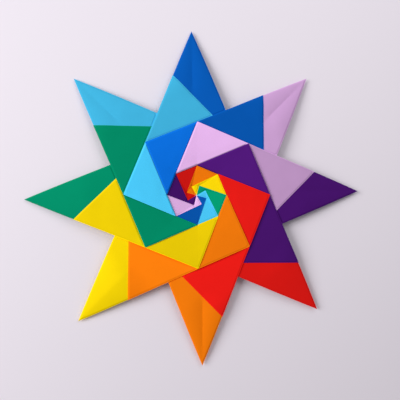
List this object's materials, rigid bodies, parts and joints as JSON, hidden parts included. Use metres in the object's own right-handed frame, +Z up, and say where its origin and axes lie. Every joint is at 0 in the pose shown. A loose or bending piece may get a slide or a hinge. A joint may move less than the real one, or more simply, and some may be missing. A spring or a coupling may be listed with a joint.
{
  "type": "modular origami star",
  "caption": "Flat pointed star folded from interlocked paper sheets in rainbow colours, with a pinwheel ring round a swirled window.",
  "frame": {"origin": "under the middle of the star, level with its lowest paper", "axes": "+Z up out of the star's face, +Y towards the dark blue point"},
  "size_m": [0.316, 0.316, 0.0119],
  "materials": {
    "dark_blue_paper": "matte plain coloured paper",
    "lilac_paper": "matte plain coloured paper",
    "purple_paper": "matte plain coloured paper",
    "red_paper": "matte plain coloured paper",
    "orange_paper": "matte plain coloured paper",
    "yellow_paper": "matte plain coloured paper",
    "green_paper": "matte plain coloured paper",
    "sky_blue_paper": "matte plain coloured paper"
  },
  "bodies": {
    "root": {"dark_blue_unit": "dark_blue_paper", "lilac_unit": "lilac_paper", "purple_unit": "purple_paper", "red_unit": "red_paper", "orange_unit": "orange_paper", "yellow_unit": "yellow_paper", "green_unit": "green_paper", "sky_blue_unit": "sky_blue_paper"}
  },
  "joints": []
}
